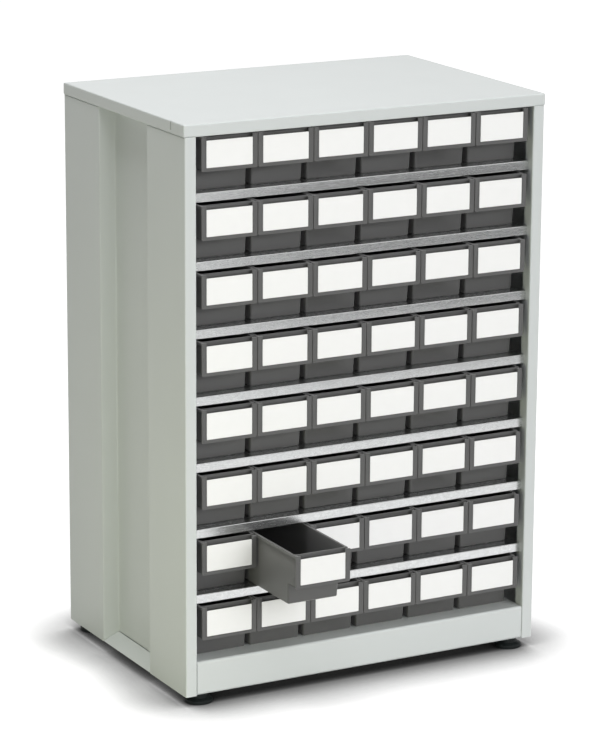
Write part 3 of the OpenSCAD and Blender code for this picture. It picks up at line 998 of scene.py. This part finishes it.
class ORGANIZER_OT_stage(bpy.types.Operator):
    """Studio: pale floor, soft light and the camera"""
    bl_idname = "organizer.stage"
    bl_label = "Studio"

    def execute(self, context):
        studio = context.scene.studio
        context.scene.view_settings.view_transform = "Standard"
        self.floor(studio)
        self.world(context.scene, studio)
        self.flag()
        middle = Vector((0, MIDDLE_Y, SIDE_HIGH.z / 2))
        front = middle + FRONT_LAMP_DISTANCE * bearing(studio.front_azimuth, studio.front_elevation)
        self.lamp("front_lamp", front, middle, FRONT_LAMP_SIZE, studio.front, WHITE)
        over = middle + UPPER_LAMP_DISTANCE * bearing(studio.over_azimuth, studio.over_elevation)
        self.lamp("upper_lamp", over, middle, UPPER_LAMP_SIZE, studio.over, WHITE)
        self.lamp("side_lamp", SIDE_LAMP_PLACE, SIDE_LAMP_AIM, SIDE_LAMP_SIZE, studio.side,
                  studio.side_tint)
        self.camera(context.scene, studio)
        return {"FINISHED"}

    def seen(self, tree):
        """A mask of the rays that show the background: camera, mirror and see-through rays."""
        path = tree.nodes.new("ShaderNodeLightPath")
        both = calculate(tree, "MAXIMUM", path.outputs["Is Camera Ray"], path.outputs["Is Glossy Ray"])
        return calculate(tree, "MAXIMUM", both, path.outputs["Is Transmission Ray"])

    def floor(self, studio):
        """White paper, with painted shade close to what stands on it, which throws less light back than it
        shows.
        """
        floor = add_plate("floor", (0, 0, 0), FLOOR_SIZE, FLOOR_SIZE, FACING_UP)
        material = bpy.data.materials.new("floor_paper")
        material.use_nodes = True
        tree = material.node_tree
        tree.nodes.remove(tree.nodes["Principled BSDF"])
        seen = self.seen(tree)
        # Painted shade: an ambient-occlusion mask darkens the floor's colour and its glow near the cabinet,
        # on top of the lamps' real shadow
        near_by = add_node(tree, "AmbientOcclusion", {"Distance": studio.painted_shade_reach},
                           samples=SHADE_MASK_SAMPLES).outputs["AO"]
        deeper = calculate(tree, "POWER", near_by, studio.painted_shade_depth)
        painted_contact_shade = calculate(tree, "MULTIPLY", deeper, seen)
        white = calculate(tree, "MULTIPLY", painted_contact_shade, studio.floor_white)
        shade = add_node(tree, "Mix", {"Factor": seen, "A": studio.floor_bounce, "B": white},
                         data_type="FLOAT")
        paper = add_node(tree, "BsdfDiffuse", {"Color": shade.outputs["Result"]})
        lift = calculate(tree, "MULTIPLY", painted_contact_shade, studio.floor_lift)
        glow = add_node(tree, "Emission", {"Strength": lift})
        both = add_node(tree, "AddShader", {0: paper.outputs[0], 1: glow.outputs[0]})
        tree.links.new(both.outputs[0], tree.nodes["Material Output"].inputs["Surface"])
        floor.data.materials.append(material)

    def flag(self):
        """A dark cloth low at the front right, which only mirror rays meet: it darkens the shelf lips."""
        flag = add_plate("black_flag", FLAG_PLACE, FLAG_WIDTH, FLAG_HEIGHT, FACING_FRONT)
        material = bpy.data.materials.new("flag_cloth")
        material.use_nodes = True
        tree = material.node_tree
        fill_inputs(tree, tree.nodes["Principled BSDF"],
                    {"Base Color": (*FLAG_COLOUR, 1), "Roughness": 1.0, "Alpha": FLAG_ALPHA})
        flag.data.materials.append(material)
        flag.visible_camera = flag.visible_diffuse = flag.visible_shadow = False

    def lobe(self, tree, way, azimuth, elevation, strength, focus):
        """Light that is strongest from one direction and fades away from it."""
        facing = add_node(tree, "VectorMath", {0: way, 1: bearing(azimuth, elevation)},
                          operation="DOT_PRODUCT").outputs["Value"]
        lit = calculate(tree, "MAXIMUM", facing, 0.0)
        faded = calculate(tree, "POWER", lit, focus)
        return calculate(tree, "MULTIPLY", faded, strength)

    def world(self, scene, studio):
        """Soft light from above, from behind and from low in front, and white behind it all."""
        world = bpy.data.worlds.new("studio_walls")
        scene.world = world
        world.use_nodes = True
        tree = world.node_tree
        way = tree.nodes.new("ShaderNodeTexCoord").outputs["Generated"]
        top = self.lobe(tree, way, 0, math.pi / 2, studio.top, studio.focus)
        rear = self.lobe(tree, way, studio.rear_azimuth, studio.rear_elevation, studio.rear, studio.focus)
        low = self.lobe(tree, way, studio.low_azimuth, studio.low_elevation, studio.low, studio.low_focus)
        soft = calculate(tree, "ADD", top, rear)
        light = calculate(tree, "ADD", soft, low)
        shown = add_node(tree, "Mix", {"Factor": self.seen(tree), "A": light, "B": 1.0}, data_type="FLOAT")
        tree.links.new(shown.outputs["Result"], tree.nodes["Background"].inputs["Strength"])
        tree.nodes["Background"].inputs["Color"].default_value = (*WHITE, 1)

    def lamp(self, name, place, aim, size, power, tint):
        deselect_all()
        bpy.ops.object.light_add(type="AREA", location=place)
        lamp = bpy.context.object
        lamp.name = name
        lamp.data.size = size
        lamp.data.energy = power
        lamp.data.color = tint
        lamp.rotation_euler = (aim - place).to_track_quat("-Z", "Y").to_euler()
        lamp.visible_glossy = False

    def camera(self, scene, studio):
        deselect_all()
        bpy.ops.object.camera_add()
        camera = bpy.context.object
        camera.name = "camera"
        back = bearing(studio.azimuth, studio.elevation)
        target = Vector((studio.target_x, MIDDLE_Y, studio.target_z))
        look = (-back).to_track_quat("-Z", "Y").to_matrix()
        rolled = look @ Matrix.Rotation(studio.roll, 3, "Z")
        camera.matrix_world = Matrix.Translation(target + back * studio.distance) @ rolled.to_4x4()
        camera.data.lens = studio.lens
        camera.data.sensor_width = SENSOR_WIDTH
        scene.camera = camera


class ORGANIZER_PT_panel(bpy.types.Panel):
    """Lists the pieces of the organizer and their sizes"""
    bl_label = "Parts organizer"
    bl_idname = "ORGANIZER_PT_panel"
    bl_space_type = "VIEW_3D"
    bl_region_type = "UI"
    bl_category = "Organizer"

    def draw(self, context):
        for operator in OPERATORS:
            self.layout.operator(operator.bl_idname)
        for name in GROUPS:
            group = getattr(context.scene, name)
            box = self.layout.box()
            box.label(text=name.replace("_", " ").capitalize())
            for key in group.__annotations__:
                box.prop(group, key)


GROUPS = {
    "steel_sizes": SteelSizes,
    "shelf_sizes": ShelfSizes,
    "bin_sizes": BinSizes,
    "label_sizes": LabelSizes,
    "foot_sizes": FootSizes,
    "finish_colours": FinishColours,
    "studio": StudioSettings,
}
OPERATORS = (
    ORGANIZER_OT_stage,
    ORGANIZER_OT_top_panel,
    ORGANIZER_OT_side_panels,
    ORGANIZER_OT_back_panel,
    ORGANIZER_OT_base_tray,
    ORGANIZER_OT_shelves,
    ORGANIZER_OT_bins,
    ORGANIZER_OT_label_cards,
    ORGANIZER_OT_feet,
)


def register():
    for kind in (*GROUPS.values(), *OPERATORS, ORGANIZER_PT_panel):
        bpy.utils.register_class(kind)
    for name, group in GROUPS.items():
        setattr(bpy.types.Scene, name, PointerProperty(type=group))


def unregister():
    for name in GROUPS:
        delattr(bpy.types.Scene, name)
    for kind in reversed((*GROUPS.values(), *OPERATORS, ORGANIZER_PT_panel)):
        bpy.utils.unregister_class(kind)


def main():
    register()
    bpy.ops.organizer.stage()
    bpy.ops.organizer.top_panel()
    bpy.ops.organizer.side_panels()
    bpy.ops.organizer.back_panel()
    bpy.ops.organizer.base_tray()
    bpy.ops.organizer.shelves()
    bpy.ops.organizer.bins()
    bpy.ops.organizer.label_cards()
    bpy.ops.organizer.feet()


if __name__ == "__main__":
    main()
